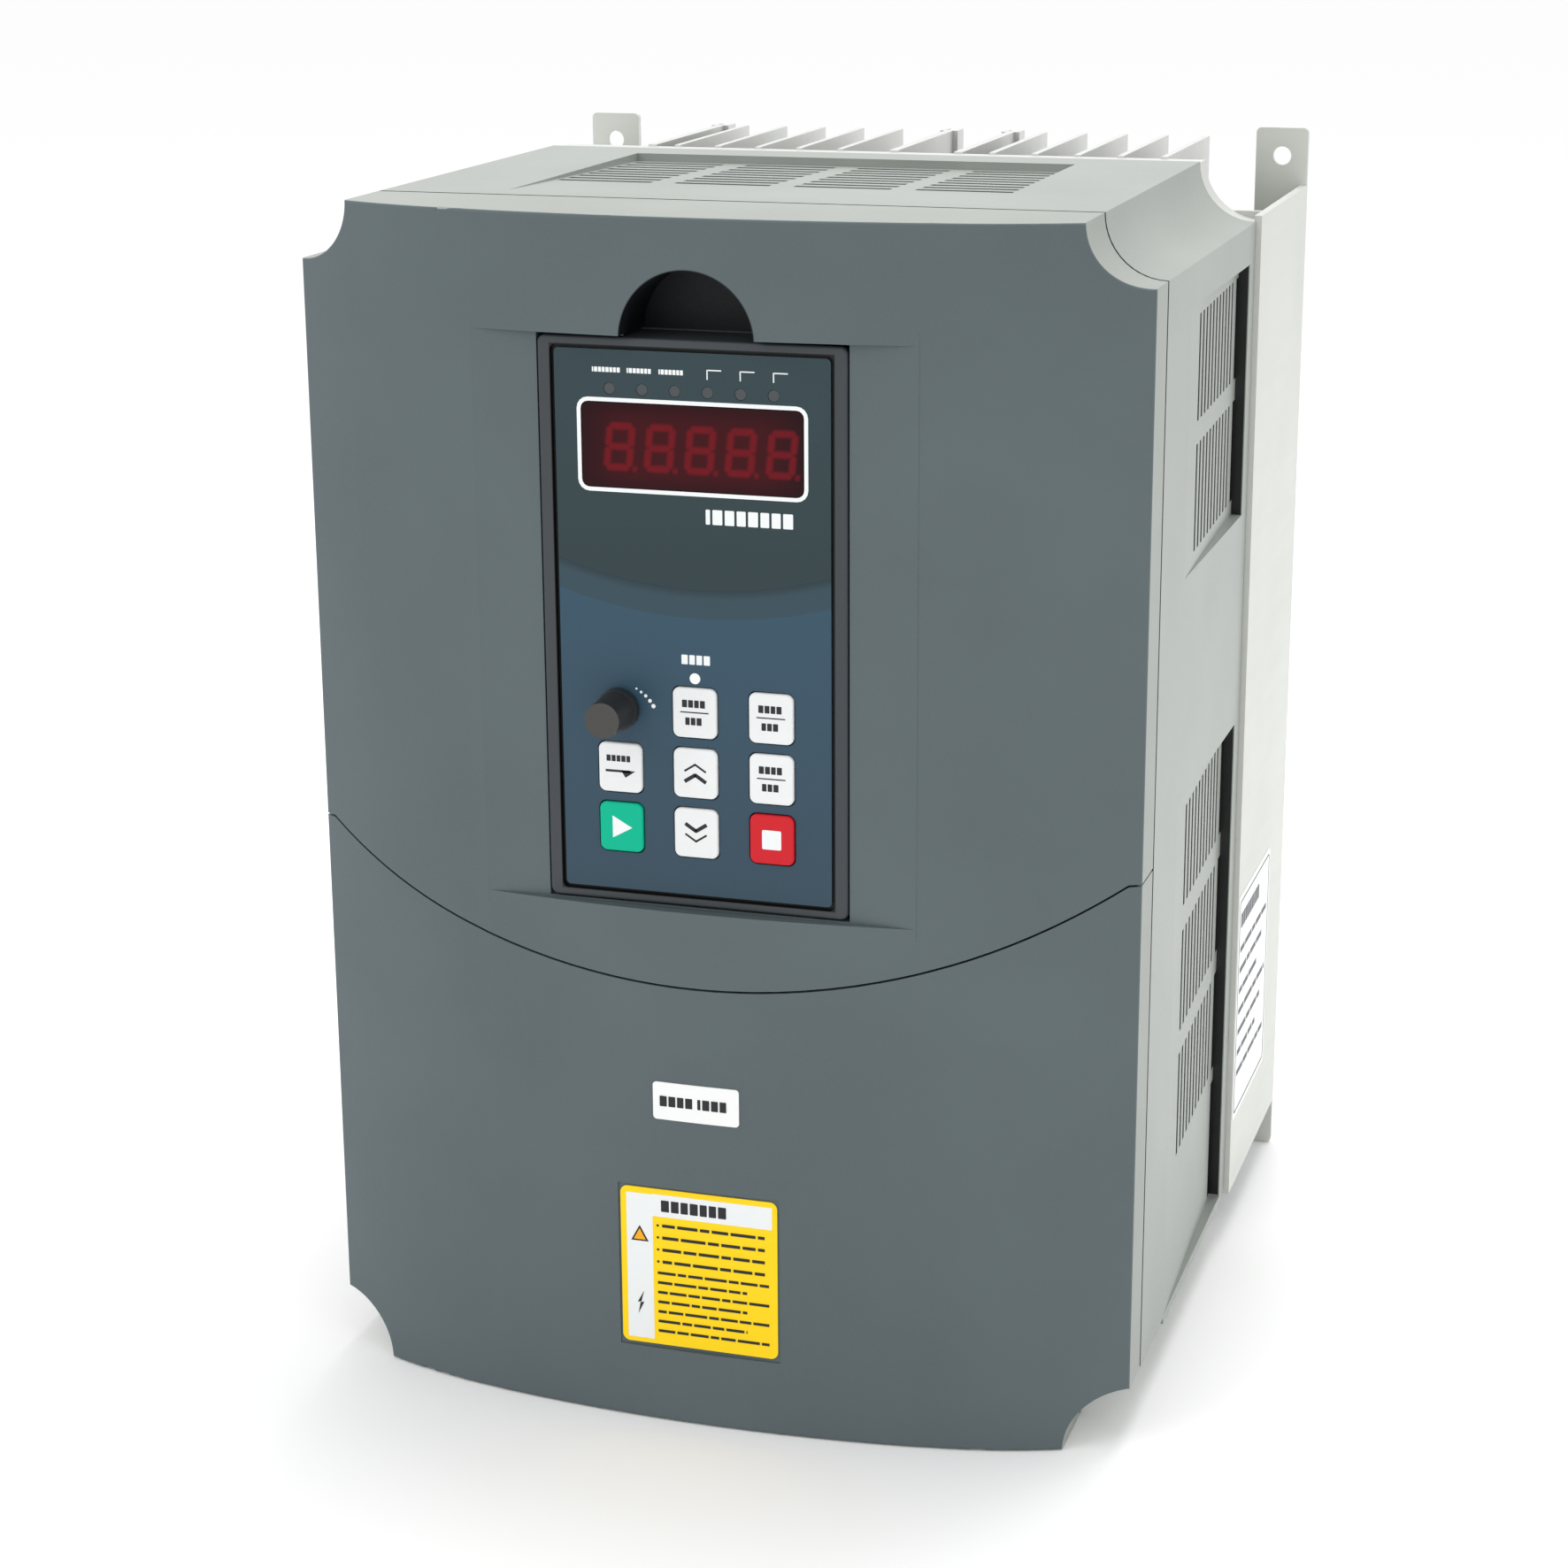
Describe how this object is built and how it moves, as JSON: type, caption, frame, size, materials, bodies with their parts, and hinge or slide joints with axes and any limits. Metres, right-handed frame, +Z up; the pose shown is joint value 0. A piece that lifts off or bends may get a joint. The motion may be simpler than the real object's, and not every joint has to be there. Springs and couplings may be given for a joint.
{
  "type": "variable frequency drive",
  "caption": "Wall-mounting motor drive: bowed two-part front cover with keypad, vented housing, finned heat sink with fans and mounting ears.",
  "frame": {"origin": "centre of the four mounting holes, in the plane of the wall", "axes": "+Y into the wall, so the keypad faces -Y; +Z up; +X to the right seen from the front"},
  "size_m": [0.2233, 0.2471, 0.3184],
  "materials": {
    "bare_aluminium": "fine matt surface",
    "zinc_steel": "zinc plated",
    "housing_plastic": "fine satin texture, silver grey",
    "cover_plastic": "fine spark texture, charcoal face",
    "case_plastic": "fine satin texture",
    "overlay_film": "printed polyester film",
    "window_plastic": "dark red filter",
    "lamp_plastic": "clear lens, unlit",
    "white_key": "silicone rubber feel",
    "green_key": "silicone rubber feel",
    "red_key": "silicone rubber feel",
    "knob_plastic": "fine matt surface",
    "black_plastic": "moulded",
    "module_plastic": "moulded",
    "terminal_plastic": "moulded",
    "strip_plastic": "moulded",
    "grommet_rubber": "soft",
    "board_laminate": "solder resist over glass laminate",
    "can_sleeve": "shrink sleeve",
    "copper_bar": "bare copper",
    "yellow_label": "printed film",
    "white_label": "printed film"
  },
  "bodies": {
    "chassis": {"heatsink": "bare_aluminium", "side_plate_left": "bare_aluminium", "side_plate_right": "bare_aluminium", "side_plate_screws": "zinc_steel", "fan_tray": "zinc_steel", "fan_frame_left": "black_plastic", "fan_frame_right": "black_plastic", "fan_guards": "zinc_steel", "housing": "housing_plastic", "housing_screws": "zinc_steel", "cable_grommets": "grommet_rubber", "nameplate_label": "white_label", "power_module": "module_plastic", "rectifier_module": "module_plastic", "charging_relay": "module_plastic", "power_terminals": "terminal_plastic", "terminal_screws": "zinc_steel", "busbars": "copper_bar", "current_sensors": "module_plastic", "earth_screws": "zinc_steel", "capacitors": "can_sleeve", "capacitor_clamp": "zinc_steel", "power_board": "board_laminate", "power_pillars": "zinc_steel", "control_board": "board_laminate", "control_pillars": "zinc_steel", "board_screws": "zinc_steel", "control_terminals": "strip_plastic", "keypad_socket": "black_plastic"},
    "upper_cover": {"upper_cover": "cover_plastic"},
    "lower_cover": {"lower_cover": "cover_plastic", "caution_label": "yellow_label", "rating_label": "white_label"},
    "keypad": {"keypad_case": "case_plastic", "keypad_overlay": "overlay_film", "display_window": "window_plastic", "display_module": "module_plastic", "indicator_lamps": "lamp_plastic", "keypad_board": "board_laminate", "keypad_back": "case_plastic", "keypad_plug": "black_plastic", "key_switches": "black_plastic", "potentiometer": "module_plastic"},
    "speed_knob": {"speed_knob": "knob_plastic", "knob_spindle": "zinc_steel"},
    "fan_rotor_left": {"fan_rotor_left": "black_plastic"},
    "fan_rotor_right": {"fan_rotor_right": "black_plastic"},
    "key_shift": {"key_shift": "white_key"},
    "key_run": {"key_run": "green_key"},
    "key_program": {"key_program": "white_key"},
    "key_up": {"key_up": "white_key"},
    "key_down": {"key_down": "white_key"},
    "key_set": {"key_set": "white_key"},
    "key_jog": {"key_jog": "white_key"},
    "key_stop": {"key_stop": "red_key"}
  },
  "joints": [
    {"name": "upper_cover_lift", "type": "slide", "parent": "chassis", "child": "upper_cover", "axis": [0, -1, 0], "range_m": [0, 0.06]},
    {"name": "lower_cover_lift", "type": "slide", "parent": "chassis", "child": "lower_cover", "axis": [0, -1, 0], "range_m": [0, 0.06]},
    {"name": "keypad_unplug", "type": "slide", "parent": "upper_cover", "child": "keypad", "axis": [0, -1, 0], "range_m": [0, 0.04]},
    {"name": "key_shift_press", "type": "slide", "parent": "keypad", "child": "key_shift", "axis": [0, 1, 0], "range_m": [0, 0.0005], "stiffness_N_per_m": 1500, "springref_m": -0.0004},
    {"name": "key_run_press", "type": "slide", "parent": "keypad", "child": "key_run", "axis": [0, 1, 0], "range_m": [0, 0.0005], "stiffness_N_per_m": 1500, "springref_m": -0.0004},
    {"name": "key_program_press", "type": "slide", "parent": "keypad", "child": "key_program", "axis": [0, 1, 0], "range_m": [0, 0.0005], "stiffness_N_per_m": 1500, "springref_m": -0.0004},
    {"name": "key_up_press", "type": "slide", "parent": "keypad", "child": "key_up", "axis": [0, 1, 0], "range_m": [0, 0.0005], "stiffness_N_per_m": 1500, "springref_m": -0.0004},
    {"name": "key_down_press", "type": "slide", "parent": "keypad", "child": "key_down", "axis": [0, 1, 0], "range_m": [0, 0.0005], "stiffness_N_per_m": 1500, "springref_m": -0.0004},
    {"name": "key_set_press", "type": "slide", "parent": "keypad", "child": "key_set", "axis": [0, 1, 0], "range_m": [0, 0.0005], "stiffness_N_per_m": 1500, "springref_m": -0.0004},
    {"name": "key_jog_press", "type": "slide", "parent": "keypad", "child": "key_jog", "axis": [0, 1, 0], "range_m": [0, 0.0005], "stiffness_N_per_m": 1500, "springref_m": -0.0004},
    {"name": "key_stop_press", "type": "slide", "parent": "keypad", "child": "key_stop", "axis": [0, 1, 0], "range_m": [0, 0.0005], "stiffness_N_per_m": 1500, "springref_m": -0.0004},
    {"name": "speed_knob_turn", "type": "hinge", "parent": "keypad", "child": "speed_knob", "pos_m": [-0.0199, -0.24, 0.0341], "axis": [0, 1, 0], "range_deg": [0, 300]},
    {"name": "fan_left_spin", "type": "hinge", "parent": "chassis", "child": "fan_rotor_left", "pos_m": [-0.034, -0.0355, -0.1292], "axis": [0, 0, 1], "continuous": true},
    {"name": "fan_right_spin", "type": "hinge", "parent": "chassis", "child": "fan_rotor_right", "pos_m": [0.034, -0.0355, -0.1292], "axis": [0, 0, 1], "continuous": true}
  ]
}
